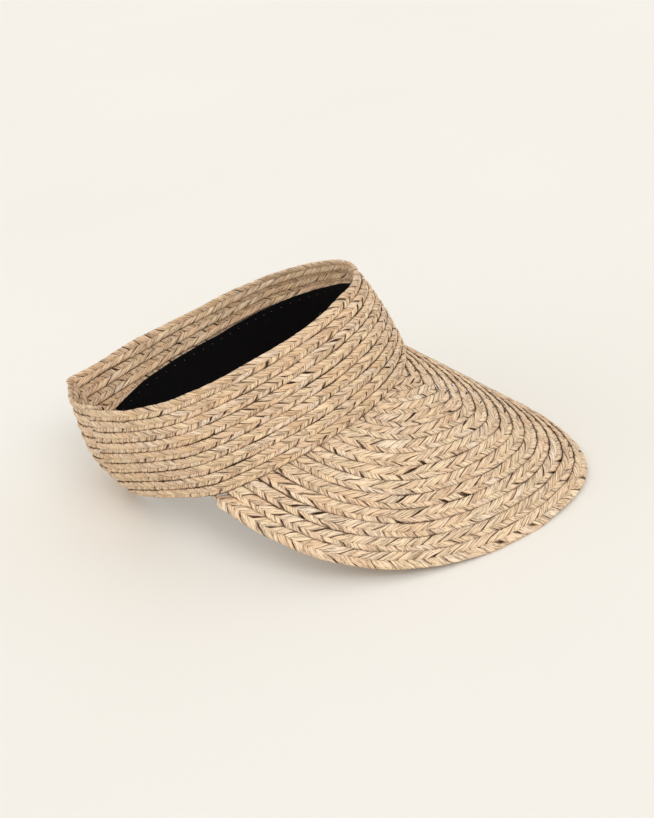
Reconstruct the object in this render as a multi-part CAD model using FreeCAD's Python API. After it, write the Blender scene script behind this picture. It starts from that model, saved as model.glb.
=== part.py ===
import FreeCAD, Part
import math
import os

# A raffia sun visor: an open head band and a sloping brim, both sewn from
# rows of flat plait, with a sweatband inside and a hook-and-loop closure at
# the back. Millimetres and degrees.
#
# The visor is laid out in the band's own frame: x towards the front, y
# towards the wearer's left, z up along the band. to_table() then leans it
# back so that it lies on a table on its brim edge, centred over the origin.

LEAN = 18.9                     # the band's front is raised by this angle

# Head band: outline of its upper and lower edge, seen along the band
BAND_HEIGHT = 59.5
TOP_RIM = {
    "front": 89.0,
    "widest": -2.0,             # x of the widest place
    "half_width": 74.5,
    "left_back": (-121.0, 29.0),
    "right_back": (-74.0, -39.0),
    "bend": 1.5,                # power of the curve that narrows to the back
}
LOW_RIM = {
    "front": 91.5,
    "widest": 4.5,
    "half_width": 83.5,
    "left_back": (-88.0, 23.0),
    "right_back": (-85.5, -23.6),
    "bend": 1.35,
}
LOW_RIM_REACH = 99.0            # x at which the lower rim's rise and dip are given
LOW_RIM_RISE = 5.2              # the front is higher than the middle
LOW_RIM_DIP = 4.0               # front and back are lower than the sides
BAND_BULGE = 2.0                # outwards at half height
LEFT_END_BULGE = 8.0            # backwards at a third of the height, at either end
RIGHT_END_BULGE = 6.5

# Brim: its outer edge is a drooping oval
EDGE_CENTRE = 50.4
EDGE_LENGTH = 107.6
EDGE_HALF_WIDTH = 99.7
EDGE_SQUARENESS = 5.4
EDGE_HEIGHT = -24.9
EDGE_FALL = 77.7
EDGE_CURL = 13.5
EDGE_END = 117.0                # angle at which the edge runs in under the band
TUCK_ANGLE = 106.0              # from here it turns in towards the band
EDGE_TUCK = 0.8                 # share of the way to the band it has turned in
JOIN_END = 96.0                 # angle of the same place round the band
BRIM_DROP = 0.9                 # the brim starts this far under the band
BRIM_INSET = 0.9                # and this far inside its outer face

# Plait
CROWN_ROWS = 9
BRIM_ROWS = 15
BRIM_PITCH = 7.6
PLAIT = 1.8                     # thickness
ROW_GAP = 0.3                   # left between neighbouring rows
FACETS = 14                     # along each quarter of the band
BRIM_FACET = 3.9                # angle between neighbouring sections of the brim
SHORTEST_END = 1.6              # width at which a brim row's slanted end stops

# Places round the band: 0 front, 1 and -1 the widest places on the left and
# right, 2 and -2 the left and right back ends
PEEL_LINE = -1.34               # the outer end bends outwards here
FOLD_LINE = 1.95                # the inner strap bends inwards here
LINE_GAP = 0.007                # half the gap between rows at either line
PEEL_STAND_OFF = 2.9            # the peel axis passes outside the band's bulge

# Closure
STRAP_INSET = 4.4               # strap's outer face inside the band's outer face
STRAP_BULGE = 8.0               # backwards in the middle of the back
STRAP_BULGE_AT_RIM = 0.5        # share of it at the strap's two rims
TUCK_AT_TOP = 12.0              # length of strap inside the outer end
TUCK_AT_BOTTOM = 56.0
PATCH_START = 7.0               # from the outer end's tip
PATCH_LENGTH = 22.0
PATCH_LOW = 0.10                # shares of the band's height
PATCH_HIGH = 0.52
PATCH_THICKNESS = 0.9

# Sweatband
SWEAT_RIGHT = -1.31
SWEAT_LEFT = 1.91
SWEAT_LOW = 0.05                # shares of the band's height
SWEAT_HIGH = 0.64
SWEAT_FRONT_RISE = 0.09
SWEAT_THICKNESS = 1.0
SWEAT_DROP_START = 1.6         # its upper edge drops towards its left end
SWEAT_END_DROP = 0.10
STITCH_COUNT = 62
STITCH_SIZE = (1.6, 0.5)        # length and thickness
STITCH_DROP = 0.055             # under the sweatband's upper edge, share of height
SEAM_COUNT = 26
SEAM_SIZE = (4.0, 0.6)
FACE_GAP = 0.1                  # between faces that lie against each other


def add(a, b, scale=1.0):
    return tuple(p + scale * q for p, q in zip(a, b))


def mix(a, b, share):
    return tuple(p + (q - p) * share for p, q in zip(a, b))


def cross(a, b):
    return (a[1] * b[2] - a[2] * b[1], a[2] * b[0] - a[0] * b[2], a[0] * b[1] - a[1] * b[0])


def distance(a, b):
    return math.dist(a, b)


def unit(a):
    size = math.hypot(*a)
    return tuple(p / size for p in a)


def leaned(point):
    x, y, z = point
    lean = math.radians(LEAN)
    return (x * math.cos(lean) - z * math.sin(lean), y, x * math.sin(lean) + z * math.cos(lean))


# ---------------------------------------------------------------- surfaces

def rim_point(rim, s):
    """Outline of a rim at place s, as x and y."""
    u = abs(s)
    back_x, back_y = rim["left_back"] if s >= 0 else rim["right_back"]
    if u <= 1.0:
        angle = math.radians(90.0 * u)
        x = rim["widest"] + (rim["front"] - rim["widest"]) * math.cos(angle)
        y = rim["half_width"] * math.sin(angle)
    else:
        x = rim["widest"] + (back_x - rim["widest"]) * (u - 1.0)
        y = rim["half_width"] - (rim["half_width"] - abs(back_y)) * (u - 1.0) ** rim["bend"]
    return x, math.copysign(y, s)


def low_rim_height(x):
    share = x / LOW_RIM_REACH
    return LOW_RIM_RISE * share - LOW_RIM_DIP * (2.0 * share * share - 1.0)


def band_face(s, v):
    """Outer face of the band at place s, with v 0 at its lower rim and 1 at its upper."""
    top_x, top_y = rim_point(TOP_RIM, s)
    low_x, low_y = rim_point(LOW_RIM, s)
    x, y, z = mix((low_x, low_y, low_rim_height(low_x)), (top_x, top_y, BAND_HEIGHT), v)
    end_bulge = LEFT_END_BULGE if s > 0 else RIGHT_END_BULGE
    x -= end_bulge * max(abs(s) - 1.0, 0.0) ** 2 * 6.75 * v * (1.0 - v) ** 2
    swell = 1.0 + BAND_BULGE * 4.0 * v * (1.0 - v) / math.hypot(x, y)
    return x * swell, y * swell, z


def outward(face, s, v):
    """Unit normal of a face, pointing out of the head opening."""
    step = 0.002
    along = add(face(s + step, v), face(s - step, v), -1.0)
    up = add(face(s, v + step), face(s, v - step), -1.0)
    return unit(cross(along, up))


def inside(face, s, v, depth):
    return add(face(s, v), outward(face, s, v), -depth)


def strap_face(r, v):
    """Outer face of the inner strap: r 0 to 1 round the left back corner,
    1 to 2 across the back, 2 to 3 inside the outer end."""
    start = band_face(FOLD_LINE, v)
    corner = band_face(2.0, v)
    right = inside(band_face, -2.0 + 0.003, v, STRAP_INSET)
    across = unit(add(right, corner, -1.0))
    leave = add(corner, across, distance(start, corner))
    if r <= 1.0:
        return mix(mix(start, corner, r), mix(corner, leave, r), r)
    if r <= 2.0:
        t = r - 1.0
        span = distance(leave, right)
        forward = unit(add(band_face(-1.95, v), band_face(-2.0, v), -1.0))
        bend_in = add(leave, across, span / 3.0)
        bend_out = add(right, forward, -span / 3.0)
        first = mix(mix(leave, bend_in, t), mix(bend_in, bend_out, t), t)
        second = mix(mix(bend_in, bend_out, t), mix(bend_out, right, t), t)
        x, y, z = mix(first, second, t)
        share = STRAP_BULGE_AT_RIM + (1.0 - STRAP_BULGE_AT_RIM) * 4.0 * v * (1.0 - v)
        return x - STRAP_BULGE * share * 16.0 * (t * (1.0 - t)) ** 2, y, z
    quarter = distance(band_face(-2.0, v), band_face(-1.0, v))
    tuck = TUCK_AT_BOTTOM + (TUCK_AT_TOP - TUCK_AT_BOTTOM) * v
    return inside(band_face, -2.0 + 0.003 + (r - 2.0) * tuck / quarter, v, STRAP_INSET)


def brim_edge(angle):
    t = math.radians(angle)
    x = EDGE_CENTRE + EDGE_LENGTH * math.cos(t)
    y = EDGE_HALF_WIDTH * math.sin(t) - EDGE_SQUARENESS * math.sin(3.0 * t)
    z = EDGE_HEIGHT - EDGE_FALL * math.cos(t) + EDGE_CURL * math.cos(2.0 * t)
    return x, y, z


def brim_root(angle):
    """Where the brim starts, under the band's lower rim."""
    s = angle * JOIN_END / EDGE_END / 90.0
    return add(inside(band_face, s, 0.0, BRIM_INSET), (0.0, 0.0, -BRIM_DROP))


def brim_face(angle, r):
    """Upper face of the brim, with r 0 at its outer edge and 1 at the band."""
    return mix(brim_edge(angle), brim_root(angle), r)


def under_brim(angle, r, depth):
    step = 0.01
    along = add(brim_face(angle + step, r), brim_face(angle - step, r), -1.0)
    inwards = add(brim_face(angle, r + step), brim_face(angle, r - step), -1.0)
    up = unit(cross(along, inwards))
    return add(brim_face(angle, r), up, -math.copysign(depth, up[2]))


EDGE_POINTS = [brim_edge(0.5 * i) for i in range(-260, 261)]


def from_edge(point):
    """Distance of a point on the brim from the brim's outer edge."""
    return min(distance(point, edge_point) for edge_point in EDGE_POINTS)


def tucked_share(angle):
    """Share r at which the brim's outer edge lies: it turns in to the band at its ends."""
    turn = max(0.0, (abs(angle) - TUCK_ANGLE) / (EDGE_END - TUCK_ANGLE))
    return EDGE_TUCK * turn ** 2


def brim_share(angle, reach):
    """Share r of the brim at which it is reach away from its outer edge, at most 1."""
    if from_edge(brim_face(angle, 1.0)) <= reach:
        return 1.0
    low, high = 0.0, 1.0
    for _ in range(14):
        middle = 0.5 * (low + high)
        if from_edge(brim_face(angle, middle)) < reach:
            low = middle
        else:
            high = middle
    return high


# ---------------------------------------------------------------- solids

def table_point(point):
    x, y, z = leaned(point)
    return FreeCAD.Vector(x - CENTRE_X, y - CENTRE_Y, z - TABLE)


def rail(sections, corner, stations):
    """A smooth edge through one corner of every section."""
    curve = Part.BSplineCurve()
    curve.interpolate(Points=[section[corner] for section in sections], Parameters=stations)
    return curve.toShape()


def strip(sections):
    """A closed strip through sections that list their corners up the outer side and
    down the inner one: smooth along its length, straight from corner to corner."""
    sections = [[table_point(p) for p in section] for section in sections]
    stations = [0.0]
    for before, after in zip(sections, sections[1:]):
        stations.append(stations[-1] + (after[0] + after[1] - before[0] - before[1]).Length)
    corners = len(sections[0])
    rails = [rail(sections, corner, stations) for corner in range(corners)]
    faces = [Part.makeRuledSurface(rails[i], rails[(i + 1) % corners], 1) for i in range(corners)]
    for end in (sections[0], sections[-1]):
        for i in range(corners // 2 - 1):
            outer_line = Part.makeLine(end[i], end[i + 1])
            inner_line = Part.makeLine(end[-1 - i], end[-2 - i])
            faces.append(Part.makeRuledSurface(outer_line, inner_line, 1))
    shell = Part.Shell(Part.makeCompound(faces).Faces)
    shell.sewShape()
    solid = Part.Solid(shell)
    if solid.Volume < 0:
        solid.reverse()
    return solid


def face_strip(face, first, last, count, low, high, outer, inner, flats=1):
    """A strip on a face: from place first to last, between heights low(s) and
    high(s), from depth outer to depth inner under the face, in flats across."""
    sections = []
    for i in range(count + 1):
        s = first + (last - first) * i / count
        heights = [low(s) + (high(s) - low(s)) * k / flats for k in range(flats + 1)]
        corners = [(v, outer) for v in heights] + [(v, inner) for v in reversed(heights)]
        sections.append([inside(face, s, v, depth) for v, depth in corners])
    return strip(sections)


def level(value):
    return lambda s: value


def crown_row(row, face, first, last):
    """One row of the band; row 0 is the lowest."""
    gap = 0.5 * ROW_GAP / BAND_HEIGHT
    low = level(row / CROWN_ROWS + gap)
    high = level((row + 1) / CROWN_ROWS - gap)
    count = max(8, math.ceil(abs(last - first) * FACETS))
    return face_strip(face, first, last, count, low, high, 0.0, PLAIT)


def strap_row(row):
    return crown_row(row, strap_face, 0.1, 2.999)


def brim_row_end(outer):
    """Angle at which a row's outer line runs in under the band."""
    angle = EDGE_END
    while from_edge(brim_root(angle)) < outer + SHORTEST_END:
        angle -= 0.5
    return angle


def brim_row(row):
    """One row of the brim; row 0 is at the outer edge."""
    outer = row * BRIM_PITCH + 0.5 * ROW_GAP * (row > 0)
    inner = (row + 1) * BRIM_PITCH - 0.5 * ROW_GAP
    end = brim_row_end(outer)
    whole = math.floor(end / BRIM_FACET - 0.5)
    angles = [-end] + [i * BRIM_FACET for i in range(-whole, whole + 1)] + [end]
    sections = []
    for angle in angles:
        near = brim_share(angle, outer) if row else tucked_share(angle)
        far = brim_share(angle, inner)
        corners = ((near, 0.0), (far, 0.0), (far, PLAIT), (near, PLAIT))
        sections.append([under_brim(angle, r, depth) for r, depth in corners])
    return strip(sections)


def sweat_top(s):
    front = max(0.0, math.cos(math.radians(60.0 * abs(s))))
    end = max(0.0, (s - SWEAT_DROP_START) / (SWEAT_LEFT - SWEAT_DROP_START))
    return SWEAT_HIGH + SWEAT_FRONT_RISE * front ** 2 - SWEAT_END_DROP * end ** 2


def sweatband():
    count = math.ceil((SWEAT_LEFT - SWEAT_RIGHT) * FACETS)
    outer = PLAIT + FACE_GAP
    return face_strip(band_face, SWEAT_RIGHT, SWEAT_LEFT, count, level(SWEAT_LOW), sweat_top,
                      outer, outer + SWEAT_THICKNESS, 6)


def patch(face, first, last, outer):
    return face_strip(face, first, last, 4, level(PATCH_LOW), level(PATCH_HIGH),
                      outer, outer + PATCH_THICKNESS, 5)


def hook_patch():
    """On the inner face of the band's outer end."""
    quarter = distance(band_face(-2.0, 0.3), band_face(-1.0, 0.3))
    first = -2.0 + PATCH_START / quarter
    return patch(band_face, first, first + PATCH_LENGTH / quarter, PLAIT + FACE_GAP)


def loop_patch():
    """On the outer face of the inner strap, opposite the hook patch."""
    quarter = distance(band_face(-2.0, 0.3), band_face(-1.0, 0.3))
    first = -2.0 + PATCH_START / quarter
    outer = STRAP_INSET - FACE_GAP - PATCH_THICKNESS
    return patch(band_face, first, first + PATCH_LENGTH / quarter, outer)


def stitch(face_place, end_place, depth, thickness):
    """A short straight stitch on the band's inner face, from one place to another."""
    (s0, v0), (s1, v1) = face_place, end_place
    a = inside(band_face, s0, v0, depth)
    b = inside(band_face, s1, v1, depth)
    out = outward(band_face, s0, v0)
    side = unit(cross(out, add(b, a, -1.0)))
    sections = []
    for end in (a, b):
        corners = ((-1, 0), (1, 0), (1, -2), (-1, -2))
        offsets = [(0.5 * thickness * across, 0.5 * thickness * deep) for across, deep in corners]
        sections.append([add(add(end, side, across), out, deep) for across, deep in offsets])
    return strip(sections)


def sweatband_stitches():
    length, thickness = STITCH_SIZE
    depth = PLAIT + FACE_GAP + SWEAT_THICKNESS
    solids = []
    for i in range(STITCH_COUNT):
        s = SWEAT_RIGHT + (SWEAT_LEFT - SWEAT_RIGHT) * (i + 0.5) / STITCH_COUNT
        v = sweat_top(s) - STITCH_DROP
        quarter = distance(band_face(s, v), band_face(s + 0.01, v)) / 0.01
        solids.append(stitch((s, v), (s + length / quarter, v), depth, thickness))
    return Part.makeCompound(solids)


def brim_seam_stitches():
    """Thread that holds the brim under the band, on the inner face."""
    length, thickness = SEAM_SIZE
    solids = []
    for i in range(SEAM_COUNT):
        s = (2.0 * (i + 0.5) / SEAM_COUNT - 1.0) * 0.98
        low = (s, -0.5 * length / BAND_HEIGHT)
        high = (s, 0.5 * length / BAND_HEIGHT)
        solids.append(stitch(low, high, PLAIT + FACE_GAP, thickness))
    return Part.makeCompound(solids)


# ---------------------------------------------------------------- assembly

def resting_place():
    """Centre of the visor's footprint, and the height of its lowest point."""
    points = [under_brim(3.0 * i, 0.0, depth) for i in range(-39, 40) for depth in (0.0, PLAIT)]
    points += [inside(band_face, 0.05 * i, v, 0.0) for i in range(-39, 40) for v in (0.0, 1.0)]
    points += [strap_face(0.1 * i, v) for i in range(1, 30) for v in (0.0, 1.0)]
    xs, ys, zs = zip(*[leaned(p) for p in points])
    return 0.5 * (min(xs) + max(xs)), 0.5 * (min(ys) + max(ys)), min(zs)


CENTRE_X, CENTRE_Y, TABLE = resting_place()


def assemble():
    nodes = {}
    for row in range(CROWN_ROWS):
        name = "%02d" % (row + 1)
        nodes["crown_row_" + name] = crown_row(row, band_face, PEEL_LINE + LINE_GAP, FOLD_LINE - LINE_GAP)
        nodes["outer_end_row_" + name] = crown_row(row, band_face, -1.999, PEEL_LINE - LINE_GAP)
        nodes["strap_row_" + name] = strap_row(row)
    for row in range(BRIM_ROWS):
        nodes["brim_row_%02d" % (row + 1)] = brim_row(row)
    nodes["sweatband"] = sweatband()
    nodes["sweatband_stitches"] = sweatband_stitches()
    nodes["brim_seam_stitches"] = brim_seam_stitches()
    nodes["hook_patch"] = hook_patch()
    nodes["loop_patch"] = loop_patch()
    return nodes


def hinge_line(s, depth):
    low = table_point(inside(band_face, s, 0.0, depth))
    high = table_point(inside(band_face, s, 1.0, depth))
    return (low + high) * 0.5, (high - low).normalize()


os.makedirs("parts", exist_ok=True)
for node, shape in assemble().items():
    shape.exportStep("parts/" + node + ".step")
    print(node, shape.isValid(), round(shape.Volume / 1000.0, 2))
print("outer end hinge", *hinge_line(PEEL_LINE, -PEEL_STAND_OFF))
print("strap hinge", *hinge_line(FOLD_LINE, PLAIT))
print("rest", CENTRE_X, CENTRE_Y, TABLE)
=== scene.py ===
import math

import bpy
import numpy as np
from mathutils import Matrix, Vector


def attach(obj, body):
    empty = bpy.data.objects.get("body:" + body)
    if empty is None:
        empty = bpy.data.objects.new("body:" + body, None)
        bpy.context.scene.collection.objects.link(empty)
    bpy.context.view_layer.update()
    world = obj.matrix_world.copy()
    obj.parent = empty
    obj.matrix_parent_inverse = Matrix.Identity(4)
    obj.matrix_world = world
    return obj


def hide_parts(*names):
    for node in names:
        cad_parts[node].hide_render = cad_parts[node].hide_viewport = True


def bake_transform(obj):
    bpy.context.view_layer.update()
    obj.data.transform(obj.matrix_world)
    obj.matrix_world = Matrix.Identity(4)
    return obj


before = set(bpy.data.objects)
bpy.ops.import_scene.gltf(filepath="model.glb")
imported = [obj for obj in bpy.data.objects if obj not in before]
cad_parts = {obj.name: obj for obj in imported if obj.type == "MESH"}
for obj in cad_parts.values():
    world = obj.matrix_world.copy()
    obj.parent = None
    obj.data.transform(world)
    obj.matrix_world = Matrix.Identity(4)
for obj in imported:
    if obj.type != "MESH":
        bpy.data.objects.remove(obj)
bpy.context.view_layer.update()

# A raffia sun visor. Sizes are in millimetres in the head band's own frame: x forward,
# y to the wearer's left, z up. rest_place turns them into metres as the visor lies.
LEAN = 18.9                     # degrees by which the band's front is raised
REST_SHIFT = (-23.459, 0.0, 35.974)

# Head band: outline of its upper and lower edge, seen along the band. widest is the x of
# the widest place, and bend the power of the curve that narrows to the back
BAND_HEIGHT = 59.5
TOP_RIM = {"front": 89.0, "widest": -2.0, "half_width": 74.5,
           "left_back": (-121.0, 29.0), "right_back": (-74.0, -39.0), "bend": 1.5}
LOW_RIM = {"front": 91.5, "widest": 4.5, "half_width": 83.5,
           "left_back": (-88.0, 23.0), "right_back": (-85.5, -23.6), "bend": 1.35}
LOW_RIM_REACH = 99.0            # x at which the lower rim's rise and dip are given
LOW_RIM_RISE = 5.2              # the front is higher than the middle
LOW_RIM_DIP = 4.0               # front and back are lower than the sides
BAND_BULGE = 2.0                # outwards at half height
LEFT_END_BULGE = 8.0            # backwards at a third of the height, at either end
RIGHT_END_BULGE = 6.5

# Brim: its outer edge is a drooping oval
EDGE_CENTRE = 50.4
EDGE_LENGTH = 107.6
EDGE_HALF_WIDTH = 99.7
EDGE_SQUARENESS = 5.4
EDGE_HEIGHT = -24.9
EDGE_FALL = 77.7
EDGE_CURL = 13.5
EDGE_END = 117.0                # angle at which the edge runs in under the band
TUCK_ANGLE = 106.0              # from here it turns in towards the band
EDGE_TUCK = 0.8                 # share of the way to the band it has turned in
JOIN_END = 96.0                 # angle of the same place round the band
BRIM_DROP = 0.9                 # the brim starts this far under the band
BRIM_INSET = 0.9                # and this far inside its outer face

# Rows and closure. Places round the band are 0 at the front, 1 and -1 at the widest places
# on the left and right, and 2 and -2 at the left and right back ends
CROWN_ROWS = 9
BRIM_ROWS = 15
BRIM_PITCH = 7.6
PLAIT = 1.8                     # thickness of a plait
PEEL_LINE = -1.34               # the outer end bends outwards here
FOLD_LINE = 1.95                # the inner strap bends inwards here
STRAP_MEETS = -2.0 + 0.003      # place on the band where the strap passes inside it
STRAP_INSET = 4.4               # strap's outer face inside the band's outer face
STRAP_BULGE = 8.0               # backwards in the middle of the back
STRAP_BULGE_AT_RIM = 0.5        # share of it at the strap's two rims
TUCK_AT_TOP = 12.0              # length of strap inside the outer end
TUCK_AT_BOTTOM = 56.0

# Three-strand plaits: their rows' ends
TIP_BACK_LOW = 5.2              # from the band's tip to its plaits' ends, at its lower edge
TIP_BACK_TOP = 2.2              # the same at its upper edge
TIP_TUCK = 1.1                  # how far those ends turn inwards
TIP_LENGTH = 4.0                # length over which they turn
TIP_SHADE = 0.8                  # length painted in shade at their tips, fading over as much again
SHEAR_LENGTH = 12.0             # from a plait's end to where its strands lean fully
BRIM_TUCK = 3.8                 # how far the brim's rows run on beneath the band
CORNER_TUCK = 6.5               # the same for the outermost row
CORNER_LENGTH = 11.0            # where a row with a free lower edge narrows at its ends
CORNER_NARROWING = 0.8          # how much of its lower half is lost there
SPLIT_PLACE = 1.0               # where the band's rows pass from one mesh to the next

# A plait's strands fold at its edges. edge, from the plait's middle, and width, a strand's,
# are shares of the distance from one row to the next. A strand is back in the same place
# after repeat. point, 1 or -1, is the way its V shapes point along the row. tilt, in
# radians, leans the plait so that its edge lies over the row beside it, and shear leans its
# V shapes. tuck turns the row's first end inwards and scales the painted shade there, and
# step is the mesh's spacing.
CROWN_PLAIT = {"edge": 0.54, "width": 0.78, "repeat": 24.0, "point": 1.0, "tilt": 0.23,
               "shear": -0.38, "tuck": TIP_TUCK, "step": 0.8}
BRIM_PLAIT = {"edge": 0.565, "width": 0.80, "repeat": 30.0, "point": -1.0, "tilt": 0.23,
              "shear": -0.3, "tuck": 0.0, "step": 1.0}
STRAND_THICK = 0.42
STRAND_ARCH = 0.42              # how far a strand's middle stands over its edges
ARCH_SWITCH = 3.0               # how quickly the arch turns over between two layers
STRAND_RISE = 0.45              # height of the upper layer over the plait's middle
STRAND_LAP = 0.06               # slope of a strand on the one beside it
EDGE_SINK = 0.4                 # how far a plait's edges lie below its middle
FOLD_SHARPNESS = 0.96           # 1 for a sharp fold at the plait's edges
ACROSS_POINTS = 9
RIB = 0.07                      # height of the fibres that show along a strand

# How far strands stray from an even plait
UNEVEN_PHASE = 0.5              # of all three strands, in radians of the weave
UNEVEN_EDGE = 0.03              # share of the distance to the plait's edges
UNEVEN_DRIFT = 0.22             # sideways, the whole plait
UNEVEN_TURN = 0.22              # of one strand, in radians of the weave
UNEVEN_WIDTH = 0.09             # share of a strand's width
UNEVEN_SIDE = 0.10              # sideways, one strand
UNEVEN_LIFT = 0.06
FREE_CROWN_EDGE = 2.6           # times UNEVEN_EDGE, on the band's uppermost row
FREE_BRIM_EDGE = 1.6            # the same on the brim's outermost row

# Painted shade: how dark strands are painted in hollows, and under the edge of the row beside them
HOLLOW_SHADE = 0.8
HOLLOW_START = 0.16             # height at which a hollow starts, and its depth
HOLLOW_DEPTH = 0.5
SEAM_PLACE = 0.92               # less edge, the share of a row at which the next covers it
SEAM_WANDER = 0.02
SEAM_BLUR = 0.05
SEAM_SHADE = 1.12
SEAM_SHADE_WANDER = 0.3

# Loose fibre ends on a row
TOP_WHISKERS = 60
BAND_WHISKERS = 24
TAIL_WHISKERS = 16
BRIM_WHISKERS = 16
WHISKER_THICK = 0.11

# Sweatband and stitches. Heights are shares of the band's, and ends are places round it
SWEAT_RIGHT = -1.31
SWEAT_LEFT = 1.91
SWEAT_LOW = 0.05
SWEAT_HIGH = 0.64
SWEAT_FRONT_RISE = 0.09
SWEAT_DROP_START = 1.6          # its upper edge drops towards its left end
SWEAT_END_DROP = 0.10
SWEAT_DEPTH = 2.3               # its outer side, from the band's outer face
SWEAT_THICKNESS = 0.9
SWEAT_EASE = 0.13               # how far the cloth stands off where it is slack
HEM_PLACE = 0.90                # share of the cloth's height
HEM_HALF_WIDTH = 0.06
HEM_DENT = 0.12
STITCH_COUNT = 62
STITCH_DROP = 0.055             # under the sweatband's upper edge
STITCH_SINK = 0.12              # into the cloth, in millimetres
STITCH_THICK = 0.26
SEAM_COUNT = 26
SEAM_SPAN = 0.98                # share of the join's length that has stitches
SEAM_DEPTH = 1.95               # behind the band's outer face
SEAM_REACH = 2.0                # above and below the join
SEAM_THICK = 0.5

# Hook and loop patches
PATCH_START = 7.0               # from the outer end's tip
PATCH_LENGTH = 22.0
PATCH_LOW = 0.10                # shares of the band's height
PATCH_HIGH = 0.52
TAPE_THICK = 0.4
HOOK_DEPTH = 2.45               # of the tape's outer side, behind the band's outer face
LOOP_DEPTH = 3.75
PILE_COLUMNS = 20
PILE_ROWS = 24
PILE_HEIGHT = 0.42              # of a hook or loop over the tape
PILE_REACH = 0.3                # sideways to the middle of its turn
PILE_RADIUS = 0.07
HOOK_TURN = 0.8                 # share of a half turn that a hook goes round; a loop is whole

# Camera, in degrees and metres
CAMERA_YAW = 21.67
CAMERA_RISE = 27.3
CAMERA_ROLL = 11.42
CAMERA_DISTANCE = 0.859

# Colours, as 0 to 255 values
CROWN_TINTS = [(236, 203, 170), (240, 211, 176), (244, 217, 178), (235, 199, 160), (247, 224, 196)]
# CROWN_DARK and BRIM_DARK colour the fibres' dark splits and the painted shade
CROWN_DARK = (84, 55, 34)
# The brim's tints are a little lighter than the crown's: painted light, for the brim faces up to the lamps
BRIM_TINTS = [(244, 214, 180), (247, 219, 184), (250, 225, 188), (242, 208, 171), (252, 231, 203)]
BRIM_DARK = (90, 60, 38)
WARM_BLOTCH = (196, 148, 104)


# ---------------------------------------------------------------- surfaces

def unit(a):
    """The vectors, each made one long."""
    return a / np.linalg.norm(a, axis=-1, keepdims=True)


def rest_place(points):
    """Points of the band's frame as the visor lies, in metres."""
    lean = math.radians(LEAN)
    x, y, z = points[..., 0], points[..., 1], points[..., 2]
    turned = (x * math.cos(lean) - z * math.sin(lean), y, x * math.sin(lean) + z * math.cos(lean))
    return (np.stack(turned, axis=-1) + np.array(REST_SHIFT)) * 0.001


def rim_point(rim, s):
    """x and y of a rim at place s: 0 at the front, 1 at the left side, 2 at the left back
    corner, and below 0 on the right in the same way."""
    u = np.abs(s)
    left = s >= 0
    back_x = np.where(left, rim["left_back"][0], rim["right_back"][0])
    back_y = np.abs(np.where(left, rim["left_back"][1], rim["right_back"][1]))
    turn = 0.5 * math.pi * np.minimum(u, 1.0)
    past = np.maximum(u - 1.0, 0.0)
    round_x = rim["widest"] + (rim["front"] - rim["widest"]) * np.cos(turn)
    straight_x = rim["widest"] + (back_x - rim["widest"]) * past
    y = rim["half_width"] * np.sin(turn) - (rim["half_width"] - back_y) * past ** rim["bend"]
    return np.where(u <= 1.0, round_x, straight_x), np.where(left, y, -y)


def band_face(s, v):
    """Outer face of the band: place s round it, share v of its height."""
    s, v = np.broadcast_arrays(np.asarray(s, float), np.asarray(v, float))
    top_x, top_y = rim_point(TOP_RIM, s)
    low_x, low_y = rim_point(LOW_RIM, s)
    share = low_x / LOW_RIM_REACH
    low_z = LOW_RIM_RISE * share - LOW_RIM_DIP * (2.0 * share * share - 1.0)
    x = low_x + (top_x - low_x) * v
    y = low_y + (top_y - low_y) * v
    z = low_z + (BAND_HEIGHT - low_z) * v
    end_bulge = np.where(s > 0, LEFT_END_BULGE, RIGHT_END_BULGE)
    # 6.75 v (1 - v)^2 is 1 at a third of the height
    x = x - end_bulge * np.maximum(np.abs(s) - 1.0, 0.0) ** 2 * 6.75 * v * (1.0 - v) ** 2
    swell = 1.0 + BAND_BULGE * 4.0 * v * (1.0 - v) / np.hypot(x, y)
    return np.stack((x * swell, y * swell, z), axis=-1)


def normal(face, s, v):
    """The outward direction of a face."""
    step = 0.002
    along = face(s + step, v) - face(s - step, v)
    up = face(s, v + step) - face(s, v - step)
    return unit(np.cross(along, up))


def inside(face, s, v, depth):
    """Points at a depth behind a face."""
    s, v = np.broadcast_arrays(np.asarray(s, float), np.asarray(v, float))
    return face(s, v) - normal(face, s, v) * np.asarray(depth, float)[..., None]


def strap_face(r, v):
    """Outer face of the strap: r 0 to 1 round the left back corner, 1 to 2 across
    the back, 2 to 3 inside the band's outer end."""
    r, v = np.broadcast_arrays(np.asarray(r, float), np.asarray(v, float))
    start = band_face(FOLD_LINE, v)
    corner = band_face(2.0, v)
    right = inside(band_face, STRAP_MEETS, v, STRAP_INSET)
    across = unit(right - corner)
    leave = corner + across * np.linalg.norm(start - corner, axis=-1, keepdims=True)
    span = np.linalg.norm(leave - right, axis=-1, keepdims=True)
    forward = unit(band_face(-1.95, v) - band_face(-2.0, v))
    t = np.clip(r, 0.0, 1.0)[..., None]
    bend = start * (1 - t) ** 2 + corner * 2 * t * (1 - t) + leave * t ** 2
    t = np.clip(r - 1.0, 0.0, 1.0)[..., None]
    bend_in = leave + across * span / 3.0
    bend_out = right - forward * span / 3.0
    back = (leave * (1 - t) ** 3 + bend_in * 3 * t * (1 - t) ** 2
            + bend_out * 3 * t ** 2 * (1 - t) + right * t ** 3)
    share = STRAP_BULGE_AT_RIM + (1.0 - STRAP_BULGE_AT_RIM) * 4.0 * v * (1.0 - v)
    back = back - np.array((16.0 * STRAP_BULGE, 0.0, 0.0)) * share[..., None] * (t * (1.0 - t)) ** 2
    quarter = np.linalg.norm(band_face(-2.0, v) - band_face(-1.0, v), axis=-1)
    tuck = TUCK_AT_BOTTOM + (TUCK_AT_TOP - TUCK_AT_BOTTOM) * v
    place = STRAP_MEETS + np.maximum(r - 2.0, 0.0) * tuck / quarter
    tucked = inside(band_face, place, v, STRAP_INSET)
    r = r[..., None]
    return np.where(r <= 1.0, bend, np.where(r <= 2.0, back, tucked))


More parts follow.
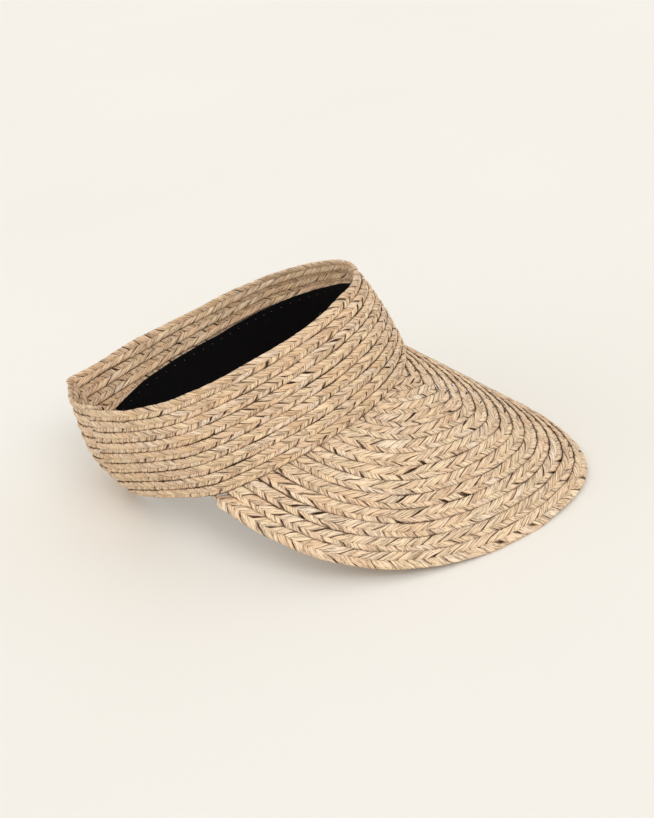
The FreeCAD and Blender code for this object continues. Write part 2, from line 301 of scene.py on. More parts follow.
def brim_edge(angle):
    """Outer edge of the brim, at an angle about its own middle, 0 at the front."""
    t = np.radians(angle)
    x = EDGE_CENTRE + EDGE_LENGTH * np.cos(t)
    y = EDGE_HALF_WIDTH * np.sin(t) - EDGE_SQUARENESS * np.sin(3.0 * t)
    z = EDGE_HEIGHT - EDGE_FALL * np.cos(t) + EDGE_CURL * np.cos(2.0 * t)
    return np.stack((x, y, z), axis=-1)


def brim_face(angle, r):
    """Upper face of the brim, with r 0 at its outer edge and 1 at the band."""
    root = inside(band_face, angle * JOIN_END / EDGE_END / 90.0, 0.0, BRIM_INSET)
    root = root - np.array((0.0, 0.0, BRIM_DROP))
    edge = brim_edge(angle)
    return edge + (root - edge) * np.asarray(r, float)[..., None]


def edge_distances(angles, shares):
    """Distance to the brim's outer edge over a grid of angles and shares."""
    edge = brim_edge(np.linspace(-130.0, 130.0, 521))
    grid = brim_face(angles[:, None] + 0.0 * shares, shares + 0.0 * angles[:, None])
    nearest = [np.min(np.linalg.norm(line[:, None] - edge, axis=-1), axis=1) for line in grid]
    return np.array(nearest)


# ---------------------------------------------------------------- plait lines

def resample(points, across, normals, pitch, step):
    """The line at even steps of about step, with its frame: length run, place, along,
    across and normal, and the distance to the next row, pitch."""
    run = np.concatenate(([0.0], np.cumsum(np.linalg.norm(np.diff(points, axis=0), axis=1))))
    even = np.linspace(0.0, run[-1], int(run[-1] / step) + 1)
    pitch = np.interp(even, run, pitch + 0.0 * run)
    place, side, up = [
        np.stack([np.interp(even, run, values[:, i]) for i in range(3)], axis=1)
        for values in (points, across, normals)
    ]
    along = unit(np.gradient(place, axis=0))
    up = unit(up - along * np.sum(up * along, axis=1, keepdims=True))
    return {"run": even, "place": place, "along": along, "across": np.cross(up, along), "normal": up,
            "pitch": pitch}


def crown_line(row):
    """Centre line of a row of the band, from the outer end's tip round the front and the
    left back corner to the strap's tip, and the station where it passes SPLIT_PLACE."""
    v = (row + 0.5) / CROWN_ROWS
    quarter = float(np.linalg.norm(band_face(-2.0, v) - band_face(-1.0, v)))
    tip_back = TIP_BACK_LOW + (TIP_BACK_TOP - TIP_BACK_LOW) * v
    places = np.linspace(-2.0 + tip_back / quarter, FOLD_LINE, 900)[:-1]
    turns = np.linspace(0.0, 3.0, 700)
    points = np.concatenate((band_face(places, v), strap_face(turns, v)))
    reach = 0.03
    higher = np.concatenate((band_face(places, v + reach), strap_face(turns, v + reach)))
    lower = np.concatenate((band_face(places, v - reach), strap_face(turns, v - reach)))
    normals = unit(np.cross(np.gradient(points, axis=0), higher - lower))
    pitch = np.linalg.norm(higher - lower, axis=1) / (2.0 * reach * CROWN_ROWS)
    line = resample(points - 0.5 * PLAIT * normals, higher - lower, normals, pitch, CROWN_PLAIT["step"])
    split = np.linalg.norm(line["place"] - band_face(SPLIT_PLACE, v), axis=1).argmin()
    return line, int(split)


def lengthened(points, amount):
    """The points with one more at each end, carried on by amount."""
    first = points[0] + unit(points[0] - points[1]) * amount
    last = points[-1] + unit(points[-1] - points[-2]) * amount
    return np.concatenate(([first], points, [last]))


def brim_lines():
    """Centre lines of the rows of the brim, the outermost first."""
    angles = np.linspace(-EDGE_END, EDGE_END, 469)
    shares = np.linspace(0.0, 1.04, 79)
    reach = edge_distances(angles, shares)
    tucked = EDGE_TUCK * np.maximum(0.0, (np.abs(angles) - TUCK_ANGLE) / (EDGE_END - TUCK_ANGLE)) ** 2
    lines = []
    for row in range(BRIM_ROWS):
        near, middle, far = [
            np.array([np.interp((row + part) * BRIM_PITCH, r, shares) for r in reach])
            for part in (0.0, 0.5, 1.0)
        ]
        if row == 0:
            # The outermost row lies a little nearer to the next one than to the edge
            near = tucked
            middle = 0.47 * near + 0.53 * far
        kept = reach[:, -1] > (row + 0.5 if row else 0.0) * BRIM_PITCH
        a, on = angles[kept], middle[kept]
        points = lengthened(brim_face(a, on), BRIM_TUCK if row else CORNER_TUCK)
        inward = lengthened(brim_face(a, on + 0.01) - brim_face(a, on - 0.01), 0.0)
        normals = unit(np.cross(np.gradient(points, axis=0), inward))
        width = np.linalg.norm(brim_face(a, far[kept]) - brim_face(a, near[kept]), axis=1)
        pitch = np.pad(np.minimum(width, BRIM_PITCH), 1, mode="edge") if row == 0 else BRIM_PITCH
        lines.append(resample(points - 0.5 * PLAIT * normals, inward, normals, pitch, BRIM_PLAIT["step"]))
    return lines


# ---------------------------------------------------------------- plaits

def wander(rng, run, shortest, longest, waves=4):
    """A smooth random value of about -1 to 1 along a line."""
    lengths = np.exp(rng.uniform(math.log(shortest), math.log(longest), waves))
    phases = rng.uniform(0.0, 2.0 * math.pi, waves)
    return np.sum(np.sin(run[:, None] * 2.0 * math.pi / lengths + phases), axis=1) / math.sqrt(waves)


class Shell:
    """Collects the vertices, faces and vertex values of one mesh."""

    def __init__(self):
        self.vertices = []
        self.faces = []
        self.values = {"across": [], "along": [], "tint": [], "strand": [], "shade": []}
        self.count = 0

    def add_tube(self, rings, **values):
        """A closed tube through rings of points, with a value per point for each name."""
        stations, around = rings.shape[:2]
        index = np.arange(stations * around).reshape(stations, around) + self.count
        following = np.roll(index, -1, axis=1)
        quads = np.stack((index[:-1], index[1:], following[1:], following[:-1]), axis=-1)
        self.faces.extend(quads.reshape(-1, 4).tolist())
        self.faces.append(index[0].tolist())
        self.faces.append(index[-1][::-1].tolist())
        self.vertices.append(rings.reshape(-1, 3))
        for name, value in values.items():
            self.values[name].append(np.broadcast_to(value, (stations, around)).reshape(-1))
        self.count += stations * around

    def build(self, name, material):
        """The object, with its vertex values as attributes."""
        mesh = bpy.data.meshes.new(name)
        mesh.from_pydata(rest_place(np.concatenate(self.vertices)), [], self.faces)
        mesh.polygons.foreach_set("use_smooth", [True] * len(mesh.polygons))
        for key, value in self.values.items():
            layer = mesh.attributes.new(key, "FLOAT", "POINT")
            layer.data.foreach_set("value", np.concatenate(value).astype(np.float32))
        mesh.materials.append(material)
        thing = bpy.data.objects.new(name, mesh)
        bpy.context.scene.collection.objects.link(thing)
        return thing


def frame_at(line, run, tilt):
    """The plait's place, across and normal directions at any lengths along its line."""
    place, across, up = [
        np.stack([np.interp(run, line["run"], line[key][:, i]) for i in range(3)], axis=-1)
        for key in ("place", "across", "normal")
    ]
    leaned_across = across * math.cos(tilt) + up * math.sin(tilt)
    return place, leaned_across, up * math.cos(tilt) - across * math.sin(tilt)


def strand_path(rng, line, kind, number, shared, covered):
    """The middle surface of one of a plait's three strands, at each station and each point
    u across it: the phase of its weave, its distance sideways from the plait's middle, its
    height over it, and how far along the line it is."""
    run = line["run"]
    edge = (kind["edge"] * line["pitch"] * shared["swing"])[:, None]
    slant = np.arctan(4.0 * edge / kind["repeat"])
    turn = (kind["point"] * 2.0 * math.pi * run / kind["repeat"] + shared["phase"]
            + number * 2.0 * math.pi / 3.0 + UNEVEN_TURN * wander(rng, run, 12, 40))
    half = 0.5 * kind["width"] * line["pitch"] * (1.0 + UNEVEN_WIDTH * wander(rng, run, 9, 40))
    u = np.linspace(-1.0, 1.0, ACROSS_POINTS)
    b = half[:, None] * u
    turn = turn[:, None] + b * (np.cos(slant) * math.pi / (2.0 * edge))
    layer = -np.sin(2.0 * turn)
    side = edge * np.arcsin(FOLD_SHARPNESS * np.sin(turn)) / math.asin(FOLD_SHARPNESS)
    side = side + (shared["drift"] + UNEVEN_SIDE * wander(rng, run, 12, 40))[:, None]
    arch = STRAND_ARCH * (1.0 - u ** 2) * np.tanh(ARCH_SWITCH * layer)
    lift = (STRAND_RISE * layer + arch + STRAND_LAP * b
            + UNEVEN_LIFT * wander(rng, run, 8, 30)[:, None] - EDGE_SINK * (side / edge) ** 2)
    full = np.clip(np.minimum(run, run[-1] - run) / SHEAR_LENGTH, 0.0, 1.0)
    shear = kind["point"] * kind["shear"] * full
    ahead = run[:, None] - kind["point"] * b * np.sin(slant) + shear[:, None] * side
    end = np.clip(np.minimum(ahead, run[-1] - ahead) / CORNER_LENGTH, 0.0, 1.0)
    narrow = 1.0 - CORNER_NARROWING * (1.0 - covered[0]) * (1.0 - end)
    side = np.where(side < 0.0, side * narrow, side)
    lift = lift - kind["tuck"] * np.clip(1.0 - ahead / TIP_LENGTH, 0.0, 1.0) ** 2
    return {"u": u, "turn": turn, "edge": edge, "side": side, "lift": lift, "ahead": ahead}


def strand_ribs(rng, run, u):
    """Small heights over one face of a strand, from the fibres that show along it."""
    heights = np.stack([wander(rng, run, 14, 60, 3) for _ in u], axis=1)
    return heights * RIB * (np.abs(u) < 0.99)


def strand_shade(rng, line, kind, path, outward, covered):
    """The painted shade on one face of a strand: how dark it is painted in hollows, under
    the next row's edge and at a tucked tip. outward is 1 where the face looks out of the
    plait's outer side, -1 where it looks inwards."""
    run, side = line["run"], path["side"]
    sunk = (path["lift"] + EDGE_SINK * (side / path["edge"]) ** 2) * outward
    seam = SEAM_PLACE - kind["edge"] + SEAM_WANDER * wander(rng, run, 10, 60)[:, None]
    reach = np.clip((-outward * side / line["pitch"][:, None] - seam) / SEAM_BLUR, 0.0, 1.0)
    depth = SEAM_SHADE + SEAM_SHADE_WANDER * wander(rng, run, 6, 40)[:, None]
    over = np.where(outward > 0.0, covered[0], covered[1])
    # Painted shade where the next row's edge lies over this face, then at a tucked tip
    seam_and_tip_shade = np.clip(depth, 0.5, 1.3) * reach * over
    seam_and_tip_shade = seam_and_tip_shade + kind["tuck"] * np.clip(2.0 - path["ahead"] / TIP_SHADE, 0.0, 1.0)
    # Painted shade in hollows, where the face sinks below the plait's surface
    hollow = HOLLOW_SHADE * np.clip((HOLLOW_START - sunk) / HOLLOW_DEPTH, 0.0, 1.0)
    return hollow + seam_and_tip_shade


def both_faces(value):
    """Values across a strand, carried on round its other face."""
    return np.concatenate((value, value[:, -2:0:-1]), axis=1)


def strand_rings(rng, line, kind, number, shared, covered):
    """Cross sections of one of a plait's three strands, with their vertex values. A
    strand is a flat ribbon that runs slantwise, turns over at each edge of the plait
    and passes over one strand and under the next."""
    run = line["run"]
    path = strand_path(rng, line, kind, number, shared, covered)
    u = path["u"]
    place, across, up = frame_at(line, path["ahead"], kind["tilt"])
    middle = place + across * path["side"][..., None] + up * path["lift"][..., None]
    face = unit(np.cross(np.gradient(middle, axis=0), np.gradient(middle, axis=1)) + 1e-9)
    facing = np.sign(np.sum(face * up, axis=-1))
    body = 0.5 * STRAND_THICK * (1.0 - u ** 2) ** 0.5
    rings, shades = [], []
    for way, order in ((1.0, slice(None)), (-1.0, slice(-2, 0, -1))):
        ribs = strand_ribs(rng, run, u)
        rings.append((middle + face * (way * (body + ribs))[..., None])[:, order])
        shades.append(strand_shade(rng, line, kind, path, facing * way, covered)[:, order])
    lobe = np.floor(path["turn"] / math.pi - 0.25).astype(int)
    tints = rng.uniform(0.0, 1.0, lobe.max() - lobe.min() + 1)
    values = {"across": both_faces(np.broadcast_to(u, lobe.shape)),
              "along": run[:, None] + rng.uniform(0.0, 500.0),
              "tint": both_faces(tints[lobe - lobe.min()]),
              "strand": rng.uniform(0.0, 1.0),
              "shade": np.concatenate(shades, axis=1)}
    return np.concatenate(rings, axis=1), values


def plait(rng, line, kind, covered=(1.0, 1.0), uneven=1.0):
    """The three strands of a row. covered says if another row lies over its lower edge
    outside, and over its upper edge inside; painted shade is laid along a covered edge."""
    run = line["run"]
    shared = {"phase": rng.uniform(0.0, 2.0 * math.pi) + UNEVEN_PHASE * wander(rng, run, 50, 140),
              "swing": 1.0 + UNEVEN_EDGE * uneven * wander(rng, run, 25, 120),
              "drift": UNEVEN_DRIFT * wander(rng, run, 30, 120)}
    return [strand_rings(rng, line, kind, number, shared, covered) for number in range(3)]


def cut(values, first, last):
    """A stretch of a strand's vertex values."""
    return {name: value[first:last] if np.ndim(value) == 2 and len(value) > 1 else value
            for name, value in values.items()}


def add_plait(shell, strands, first, last):
    """Adds the stretch of a row's strands from one station to another."""
    for rings, values in strands:
        shell.add_tube(rings[first:last], **cut(values, first, last))


def three_sided(path, radius, side, out):
    """Rings of a thin three-sided tube round a path."""
    corners = [(math.cos(a), math.sin(a)) for a in (0.0, 2.1, 4.2)]
    return np.stack([path + radius * (c * side + d * out) for c, d in corners], axis=1)


def add_whiskers(rng, shell, strands, line, first, last, count):
    """Loose ends of single fibres that stand off the strands, on the outer side."""
    for _ in range(count):
        rings = strands[rng.integers(3)][0]
        station = int(rng.integers(first + 2, last - 2))
        point = int(rng.integers(2 * ACROSS_POINTS - 2))
        start = rings[station, point]
        centre = rings[station].mean(axis=0)
        along = unit(rings[station + 1, point] - rings[station - 1, point]) * rng.choice((-1.0, 1.0))
        out = unit(start - centre)
        side = np.cross(along, out) * rng.uniform(-0.5, 0.5)
        length = rng.uniform(1.2, 4.0)
        t = np.linspace(0.0, 1.0, 6)[:, None]
        path = start + (along + side * t) * length * t + out * (0.9 * t ** 2 * rng.uniform(0.2, 1.0) - 0.1)
        if np.dot(out, line["normal"][station]) < 0.0:
            continue
        radius = WHISKER_THICK * (1.0 - 0.8 * t)
        tube = three_sided(path, radius, unit(np.cross(along, out)), out)
        shell.add_tube(tube, across=0.0, along=rng.uniform(0.0, 500.0),
                       tint=rng.uniform(0.0, 1.0), strand=0.5, shade=0.0)


# ---------------------------------------------------------------- materials

def new_material(name):
    """A node material, with its nodes, links and main shader."""
    material = bpy.data.materials.new(name)
    material.use_nodes = True
    nodes = material.node_tree.nodes
    return material, nodes, material.node_tree.links, nodes["Principled BSDF"]


def srgb(red, green, blue):
    """A colour given as 0 to 255 values, as the shader wants it."""
    shares = [value / 255.0 for value in (red, green, blue)]
    linear = [c / 12.92 if c <= 0.04045 else ((c + 0.055) / 1.055) ** 2.4 for c in shares]
    return (*linear, 1.0)


def value_node(nodes, name):
    """A vertex value that Shell stores."""
    node = nodes.new("ShaderNodeAttribute")
    node.attribute_name = name
    return node.outputs["Fac"]


def scaled(nodes, links, value, factor):
    """A value times a fixed factor."""
    node = nodes.new("ShaderNodeMath")
    node.operation = "MULTIPLY"
    links.new(value, node.inputs[0])
    node.inputs[1].default_value = factor
    return node.outputs[0]


def grain(nodes, links, across, along, other, detail):
    """Noise over a strand's own directions, stretched along its fibres."""
    place = nodes.new("ShaderNodeCombineXYZ")
    for socket, name, factor in zip(place.inputs, ("across", "along", "strand"), (across, along, other)):
        links.new(scaled(nodes, links, value_node(nodes, name), factor), socket)
    noise = nodes.new("ShaderNodeTexNoise")
    noise.inputs["Scale"].default_value = 1.0
    noise.inputs["Detail"].default_value = detail
    links.new(place.outputs[0], noise.inputs["Vector"])
    return noise.outputs["Fac"]


def ramp(nodes, links, value, stops):
    """A colour for a value, from stops of position and colour."""
    node = nodes.new("ShaderNodeValToRGB")
    elements = node.color_ramp.elements
    while len(elements) < len(stops):
        elements.new(0.5)
    for element, (position, colour) in zip(elements, stops):
        element.position = position
        element.color = colour
    links.new(value, node.inputs[0])
    return node.outputs[0]


def blended(nodes, links, kind, factor, first, second):
    """Two colours mixed. The factor and each colour may be a fixed value or a socket."""
    node = nodes.new("ShaderNodeMix")
    node.data_type = "RGBA"
    node.blend_type = kind
    if isinstance(factor, float):
        node.inputs[0].default_value = factor
    else:
        links.new(factor, node.inputs[0])
    for socket, colour in ((node.inputs[6], first), (node.inputs[7], second)):
        if isinstance(colour, tuple):
            socket.default_value = colour
        else:
            links.new(colour, socket)
    return node.outputs[2]


def grey(level):
    """A grey of a linear level."""
    return (level, level, level, 1.0)


def raffia(name, tints, dark):
    """Split palm fibre: each lobe of a strand has its own tone, with fine lighter and
    darker fibres along it, painted shade along its edges where the lobes meet, and painted
    shade from the shade value in hollows, under the next row's edge and at tucked tips."""
    material, nodes, links, shader = new_material(name)
    spread = [(i / (len(tints) - 1), srgb(*tint)) for i, tint in enumerate(tints)]
    colour = ramp(nodes, links, value_node(nodes, "tint"), spread)
    blotches = grain(nodes, links, 0.6, 0.06, 53.0, 2.0)
    warm = ramp(nodes, links, blotches, [(0.40, grey(0.0)), (0.75, grey(0.35))])
    colour = blended(nodes, links, "MIX", warm, colour, srgb(*WARM_BLOTCH))
    fibres = grain(nodes, links, 7.0, 0.14, 37.0, 5.0)
    shades = ramp(nodes, links, fibres, [(0.30, grey(0.45)), (0.47, grey(0.96)), (0.70, grey(1.22))])
    colour = blended(nodes, links, "MULTIPLY", 1.0, colour, shades)
    splits = grain(nodes, links, 3.0, 0.09, 91.0, 3.0)
    stops = [(0.0, 0.0), (0.455, 0.0), (0.485, 0.7), (0.50, 0.7), (0.53, 0.0), (1.0, 0.0)]
    lines = ramp(nodes, links, splits, [(at, grey(level)) for at, level in stops])
    colour = blended(nodes, links, "MIX", lines, colour, srgb(*dark))
    # Painted shade from the shade value: in hollows, under the next row's edge and at tucked tips
    stops = [(0.10, grey(0.0)), (0.75, grey(0.8)), (1.0, grey(0.95))]
    hollows = ramp(nodes, links, value_node(nodes, "shade"), stops)
    colour = blended(nodes, links, "MIX", hollows, colour, srgb(*dark))
    # Painted shade: thin dark lines along each strand's edges, where the lobes meet and the strand beneath
    # lies in shadow, patchy along the strand
    edge = nodes.new("ShaderNodeMath")
    edge.operation = "ABSOLUTE"
    links.new(value_node(nodes, "across"), edge.inputs[0])
    edges = ramp(nodes, links, edge.outputs[0], [(0.74, grey(0.0)), (0.84, grey(1.0))])
    patches = grain(nodes, links, 0.0, 0.35, 17.0, 1.0)
    patchy_edge_shade = ramp(nodes, links, patches, [(0.35, grey(0.5)), (0.6, grey(1.0))])
    edges = blended(nodes, links, "MULTIPLY", 1.0, edges, patchy_edge_shade)
    colour = blended(nodes, links, "MIX", edges, colour, srgb(*dark))
    links.new(colour, shader.inputs["Base Color"])
    shader.inputs["Roughness"].default_value = 0.58
    shader.inputs["Specular IOR Level"].default_value = 0.35
    bump = nodes.new("ShaderNodeBump")
    bump.inputs["Strength"].default_value = 0.5
    bump.inputs["Distance"].default_value = 0.0002
    links.new(fibres, bump.inputs["Height"])
    links.new(bump.outputs[0], shader.inputs["Normal"])
    return material


def twill(name, colour, light):
    """Black cotton twill, with fine diagonal ribs."""
    material, nodes, links, shader = new_material(name)
    place = nodes.new("ShaderNodeTexCoord")
    ribs = nodes.new("ShaderNodeTexWave")
    ribs.inputs["Scale"].default_value = 420.0
    ribs.inputs["Distortion"].default_value = 1.5
    links.new(place.outputs["Object"], ribs.inputs["Vector"])
    fuzz = nodes.new("ShaderNodeTexNoise")
    fuzz.inputs["Scale"].default_value = 900.0
    links.new(place.outputs["Object"], fuzz.inputs["Vector"])
    mixed = blended(nodes, links, "MULTIPLY", 1.0, ribs.outputs["Color"], fuzz.outputs["Color"])
    tone = ramp(nodes, links, mixed, [(0.1, srgb(*colour)), (0.8, srgb(*light))])
    links.new(tone, shader.inputs["Base Color"])
    shader.inputs["Roughness"].default_value = 0.9
    shader.inputs["Specular IOR Level"].default_value = 0.12
    bump = nodes.new("ShaderNodeBump")
    bump.inputs["Strength"].default_value = 0.4
    bump.inputs["Distance"].default_value = 0.0002
    links.new(mixed, bump.inputs["Height"])
    links.new(bump.outputs[0], shader.inputs["Normal"])
    return material


def thread(name, colour, light):
    """Twisted sewing thread or tape pile."""
    material, nodes, links, shader = new_material(name)
    place = nodes.new("ShaderNodeTexCoord")
    noise = nodes.new("ShaderNodeTexNoise")
    noise.inputs["Scale"].default_value = 1500.0
    noise.inputs["Detail"].default_value = 3.0
    links.new(place.outputs["Object"], noise.inputs["Vector"])
    tone = ramp(nodes, links, noise.outputs["Fac"], [(0.3, srgb(*colour)), (0.7, srgb(*light))])
    links.new(tone, shader.inputs["Base Color"])
    shader.inputs["Roughness"].default_value = 0.7
    return material


# ---------------------------------------------------------------- pieces

def build_crown(material):
    """The band's rows, each in two meshes: the band with its outer end, and the tail that
    runs from the left side into the strap."""
    peel = rest_place(inside(band_face, PEEL_LINE, 0.5, 0.0))
    fold = rest_place(inside(band_face, FOLD_LINE, 0.5, 0.0))
    for row in range(CROWN_ROWS):
        rng = np.random.default_rng(100 + row)
        line, split = crown_line(row)
        if row == CROWN_ROWS - 1:
            strands = plait(rng, line, CROWN_PLAIT, (1.0, 0.0), FREE_CROWN_EDGE)
            whiskers = TOP_WHISKERS
        else:
            strands = plait(rng, line, CROWN_PLAIT)
            whiskers = BAND_WHISKERS
        number = "%02d" % (row + 1)
        count = len(line["run"])
        front = Shell()
        add_plait(front, strands, 0, split + 1)
        add_whiskers(rng, front, strands, line, 0, split + 1, whiskers)
        band = front.build("plait_" + number, material)
        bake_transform(band)
        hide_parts("crown_row_" + number, "outer_end_row_" + number)
        rear = Shell()
        add_plait(rear, strands, split, count)
        add_whiskers(rng, rear, strands, line, split, count, TAIL_WHISKERS)
        tail = rear.build("tail_plait_" + number, material)
        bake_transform(tail)
        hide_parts("strap_row_" + number)


def build_brim(material):
    """The brim's rows, each in one mesh."""
    for row, line in enumerate(brim_lines()):
        rng = np.random.default_rng(200 + row)
        if row == 0:
            strands = plait(rng, line, BRIM_PLAIT, (0.0, 1.0), FREE_BRIM_EDGE)
        else:
            strands = plait(rng, line, BRIM_PLAIT)
        shell = Shell()
        count = len(line["run"])
        add_plait(shell, strands, 0, count)
        add_whiskers(rng, shell, strands, line, 0, count, BRIM_WHISKERS)
        number = "%02d" % (row + 1)
        brim = shell.build("brim_plait_" + number, material)
        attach(brim, "root")
        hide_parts("brim_row_" + number)


def sweat_top(s):
    """Upper edge of the sweatband at place s, as a share of the band's height."""
    front = np.maximum(0.0, np.cos(np.radians(60.0 * np.abs(s))))
    end = np.maximum(0.0, (s - SWEAT_DROP_START) / (SWEAT_LEFT - SWEAT_DROP_START))
    return SWEAT_HIGH + SWEAT_FRONT_RISE * front ** 2 - SWEAT_END_DROP * end ** 2


def cloth_object(name, outer, inner, material):
    """A thin closed cloth between two grids of points in the band's frame."""
    rows, columns = outer.shape[:2]
    count = rows * columns
    index = np.arange(count).reshape(rows, columns)
    near = index + count
    faces = []
    for grid, flip in ((index, False), (near, True)):
        corners = (grid[:-1, :-1], grid[1:, :-1], grid[1:, 1:], grid[:-1, 1:])
        quads = np.stack(corners, axis=-1).reshape(-1, 4)
        faces.extend((quads[:, ::-1] if flip else quads).tolist())
    border = np.concatenate((index[0, :-1], index[:-1, -1], index[-1, :0:-1], index[:0:-1, 0]))
    following = np.roll(border, -1)
    faces.extend(np.stack((border, following, following + count, border + count), axis=-1).tolist())
    mesh = bpy.data.meshes.new(name)
    points = np.concatenate((outer.reshape(-1, 3), inner.reshape(-1, 3)))
    mesh.from_pydata(rest_place(points), [], faces)
    mesh.polygons.foreach_set("use_smooth", [True] * len(mesh.polygons))
    mesh.materials.append(material)
    thing = bpy.data.objects.new(name, mesh)
    bpy.context.scene.collection.objects.link(thing)
    return thing


def build_sweatband(material):
    """The sweatband, with its length, width and area laid flat, in metres."""
    rng = np.random.default_rng(7)
    places = np.linspace(SWEAT_RIGHT, SWEAT_LEFT, 420)
    top = sweat_top(places) + 0.004 * wander(rng, places * 100.0, 12, 50)
    shares = np.linspace(0.0, 1.0, 26)
    v = SWEAT_LOW + (top[:, None] - SWEAT_LOW) * shares
    s = places[:, None] + 0.0 * shares
    slack = 1.0 + wander(rng, places * 100.0, 8, 45)[:, None]
    ease = SWEAT_EASE * slack * np.sin(math.pi * shares)
    hem = np.maximum(0.0, 1.0 - np.abs(shares - HEM_PLACE) / HEM_HALF_WIDTH) * HEM_DENT
    outer = inside(band_face, s, v, SWEAT_DEPTH)
    inner = inside(band_face, s, v, SWEAT_DEPTH + SWEAT_THICKNESS + ease - hem)
    band = cloth_object("sweatband_cloth", outer, inner, material)
    middle = inside(band_face, places, 0.35, SWEAT_DEPTH)
    length = float(np.sum(np.linalg.norm(np.diff(middle, axis=0), axis=1))) * 0.001
    edges = np.linalg.norm(inner[:, -1] - inner[:, 0], axis=1)
    width = float(edges.max()) * 0.001
    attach(band, "root")
    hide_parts("sweatband")
    return band, length, width, length * float(edges.mean()) * 0.001


def capsule(shell, start, end, out, thick):
    """A stitch that dips in at both ends."""
    t = np.linspace(0.0, 1.0, 7)[:, None]
    path = start + (end - start) * t + out * (thick * 0.5 - thick * 1.2 * (2.0 * t - 1.0) ** 4)
    radius = 0.5 * thick * (1.0 - 0.55 * np.abs(2.0 * t - 1.0) ** 3)
    side = unit(np.cross(end - start, out))
    turns = [i * math.pi / 4.0 for i in range(8)]
    rings = np.stack([path + radius * (math.cos(a) * side + math.sin(a) * out) for a in turns], axis=1)
    shell.add_tube(rings, across=0.0, along=0.0, tint=0.5, strand=0.5, shade=0.0)


def build_sweatband_stitches(material):
    """Short stitches along the sweatband's upper edge."""
    rng = np.random.default_rng(11)
    shell = Shell()
    depth = SWEAT_DEPTH + SWEAT_THICKNESS - STITCH_SINK
    for i in range(STITCH_COUNT):
        s = SWEAT_RIGHT + (SWEAT_LEFT - SWEAT_RIGHT) * (i + 0.5) / STITCH_COUNT
        v = float(sweat_top(s)) - STITCH_DROP + rng.uniform(-0.004, 0.004)
        quarter = np.linalg.norm(band_face(s + 0.01, v) - band_face(s, v)) / 0.01
        start = inside(band_face, s, v, depth)
        end_place = s + rng.uniform(0.35, 0.75) / quarter
        end = inside(band_face, end_place, v + rng.uniform(-0.006, 0.006), depth)
        inward = -normal(band_face, np.array(s), np.array(v))
        capsule(shell, start, end, inward, STITCH_THICK)
    stitches = shell.build("sweatband_thread", material)
    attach(stitches, "root")
    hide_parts("sweatband_stitches")
    return stitches


def build_seam_stitches(material):
    """Upright stitches that join the brim to the band's lower edge."""
    rng = np.random.default_rng(12)
    shell = Shell()
    reach = SEAM_REACH / BAND_HEIGHT
    for i in range(SEAM_COUNT):
        s = (2.0 * (i + 0.5) / SEAM_COUNT - 1.0) * SEAM_SPAN
        start = inside(band_face, s, -reach, SEAM_DEPTH)
        end = inside(band_face, s + rng.uniform(-0.006, 0.006), reach, SEAM_DEPTH)
        inward = -normal(band_face, np.array(s), np.array(0.0))
        capsule(shell, start, end, inward, SEAM_THICK)
    stitches = shell.build("brim_seam_thread", material)
    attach(stitches, "root")
    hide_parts("brim_seam_stitches")


def add_pile(rng, shell, root, out, hooked):
    """One hook or loop of the tape, on its root and standing out along out."""
    if hooked:
        side = unit(np.cross(out, np.array((0.0, 0.0, 1.0))))
        half_turns = HOOK_TURN
    else:
        side = unit(np.array((rng.uniform(-1, 1), rng.uniform(-1, 1), rng.uniform(-1, 1))))
        half_turns = 1.0
    side = unit(side - out * np.dot(side, out))
    turn = np.linspace(0.0, math.pi * half_turns, 5)[:, None]
    path = root + out * PILE_HEIGHT * np.sin(turn) + side * PILE_REACH * (1.0 - np.cos(turn))
    tube = three_sided(path, PILE_RADIUS, np.cross(out, side), out)
    shell.add_tube(tube, across=0.0, along=0.0, tint=0.5, strand=0.5, shade=0.0)


def build_patch(name, depth, way, body, material, hooked):
    """A rectangle of hook or loop tape: its backing, with rows of hooks or loops on it.
    way is 1 where they stand further into the opening, and -1 where they stand outwards."""
    rng = np.random.default_rng(len(name))
    quarter = float(np.linalg.norm(band_face(-2.0, 0.3) - band_face(-1.0, 0.3)))
    first = -2.0 + PATCH_START / quarter
    last = first + PATCH_LENGTH / quarter
    places = np.linspace(first, last, 24)
    shares = np.linspace(PATCH_LOW, PATCH_HIGH, 24)
    s = places[:, None] + 0.0 * shares
    v = shares + 0.0 * places[:, None]
    near = inside(band_face, s, v, depth)
    far = inside(band_face, s, v, depth + TAPE_THICK)
    backing = cloth_object(name + "_backing", near, far, material)
    shell = Shell()
    pile_depth = depth + TAPE_THICK if way > 0 else depth
    for place in np.linspace(first, last, PILE_COLUMNS)[1:-1]:
        for share in np.linspace(PATCH_LOW, PATCH_HIGH, PILE_ROWS)[1:-1]:
            root_place = place + rng.uniform(-0.002, 0.002)
            root = inside(band_face, root_place, share + rng.uniform(-0.003, 0.003), pile_depth)
            out = -way * normal(band_face, np.array(place), np.array(share))
            add_pile(rng, shell, root, out, hooked)
    pile = shell.build(name + "_pile", material)
    for piece in (backing, pile):
        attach(piece, body)
    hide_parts(name + "_patch")


# ---------------------------------------------------------------- setting

def build_floor():
    """Plain paper, a millimetre below the resting plane, where the lowest strands reach."""
    material, nodes, links, shader = new_material("floor_paper")
    place = nodes.new("ShaderNodeTexCoord")
    noise = nodes.new("ShaderNodeTexNoise")
    noise.inputs["Scale"].default_value = 3.0
    links.new(place.outputs["Object"], noise.inputs["Vector"])
    stops = [(0.3, srgb(244, 241, 233)), (0.7, srgb(246, 243, 236))]
    tone = ramp(nodes, links, noise.outputs["Fac"], stops)
    links.new(tone, shader.inputs["Base Color"])
    shader.inputs["Roughness"].default_value = 0.9
    bpy.ops.mesh.primitive_plane_add(size=8.0, location=(0.0, 0.0, -0.001))
    floor = bpy.context.object
    floor.name = "floor"
    floor.data.materials.append(material)


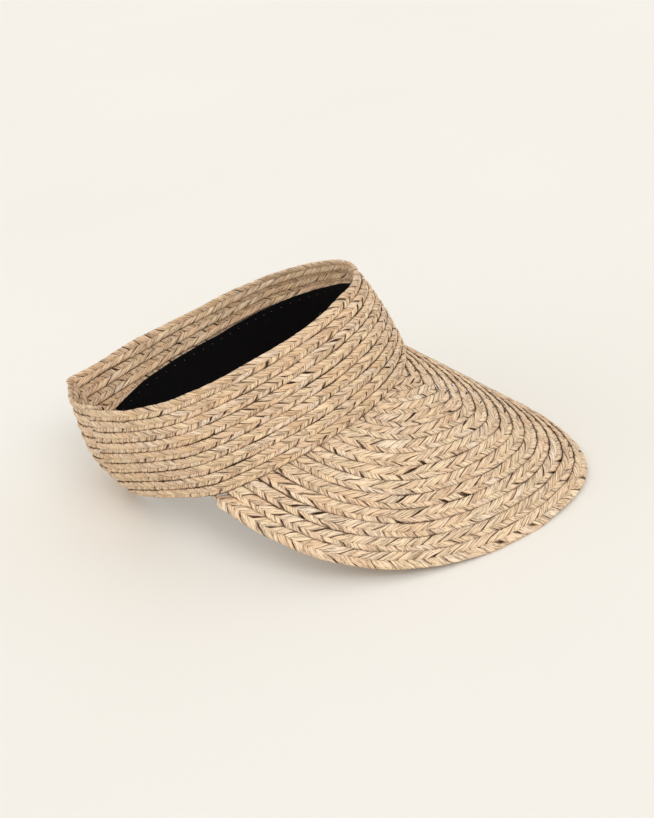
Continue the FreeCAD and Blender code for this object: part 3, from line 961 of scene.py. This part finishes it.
def soft_sun(name, towards, spread, power):
    """A sun lamp in a direction, spread over a wide angle for soft shadows."""
    light = bpy.data.lights.new(name, "SUN")
    light.angle = math.radians(spread)
    light.energy = power
    lamp = bpy.data.objects.new(name, light)
    lamp.rotation_euler = Vector(towards).to_track_quat("Z", "Y").to_euler()
    bpy.context.scene.collection.objects.link(lamp)


def light_scene():
    """Soft daylight from all round, with two wide suns."""
    bpy.context.scene.view_settings.view_transform = "Standard"
    world = bpy.data.worlds.new("studio")
    bpy.context.scene.world = world
    world.use_nodes = True
    world.node_tree.nodes["Background"].inputs[0].default_value = (1.0, 0.985, 0.965, 1.0)
    world.node_tree.nodes["Background"].inputs[1].default_value = 0.78
    soft_sun("key", (0.8, -0.75, 1.0), 30.0, 0.78)
    soft_sun("fill", (-0.9, -0.6, 0.8), 60.0, 0.35)


def place_camera():
    """The camera looks from the wearer's right, a little in front and above."""
    yaw = math.radians(CAMERA_YAW)
    rise = math.radians(CAMERA_RISE)
    roll = math.radians(CAMERA_ROLL)
    cos_yaw, sin_yaw = math.cos(yaw), math.sin(yaw)
    cos_rise, sin_rise = math.cos(rise), math.sin(rise)
    cos_roll, sin_roll = math.cos(roll), math.sin(roll)
    about_z = Matrix(((cos_yaw, sin_yaw, 0), (-sin_yaw, cos_yaw, 0), (0, 0, 1)))
    tip = Matrix(((1, 0, 0), (0, sin_rise, cos_rise), (0, -cos_rise, sin_rise)))
    turn = Matrix(((cos_roll, -sin_roll, 0), (sin_roll, cos_roll, 0), (0, 0, 1)))
    axes = (turn @ tip @ about_z).transposed()
    camera_data = bpy.data.cameras.new("camera")
    camera_data.lens = 66.5
    camera_data.shift_x = 0.076
    camera_data.shift_y = 0.019
    camera_data.clip_end = 20.0
    camera = bpy.data.objects.new("camera", camera_data)
    origin = Vector(REST_SHIFT) * 0.001
    away = axes @ Vector((0, 0, CAMERA_DISTANCE))
    camera.matrix_world = Matrix.Translation(origin + away) @ axes.to_4x4()
    bpy.context.scene.collection.objects.link(camera)
    bpy.context.scene.camera = camera


build_crown(raffia("crown_raffia", CROWN_TINTS, CROWN_DARK))
build_brim(raffia("brim_raffia", BRIM_TINTS, BRIM_DARK))
sweat_cloth = twill("sweatband_twill", (4, 3, 5), (15, 13, 16))
sweatband, flat_length, flat_width, flat_area = build_sweatband(sweat_cloth)
stitches = build_sweatband_stitches(thread("white_thread", (120, 117, 112), (176, 172, 164)))
build_seam_stitches(thread("tan_thread", (170, 138, 100), (196, 164, 124)))
hook_tape = thread("hook_tape", (34, 33, 35), (60, 58, 60))
loop_tape = thread("loop_tape", (30, 29, 31), (56, 54, 57))
build_patch("hook", HOOK_DEPTH, 1, "outer_end", hook_tape, True)
build_patch("loop", LOOP_DEPTH, -1, "strap", loop_tape, False)
build_floor()
light_scene()
place_camera()
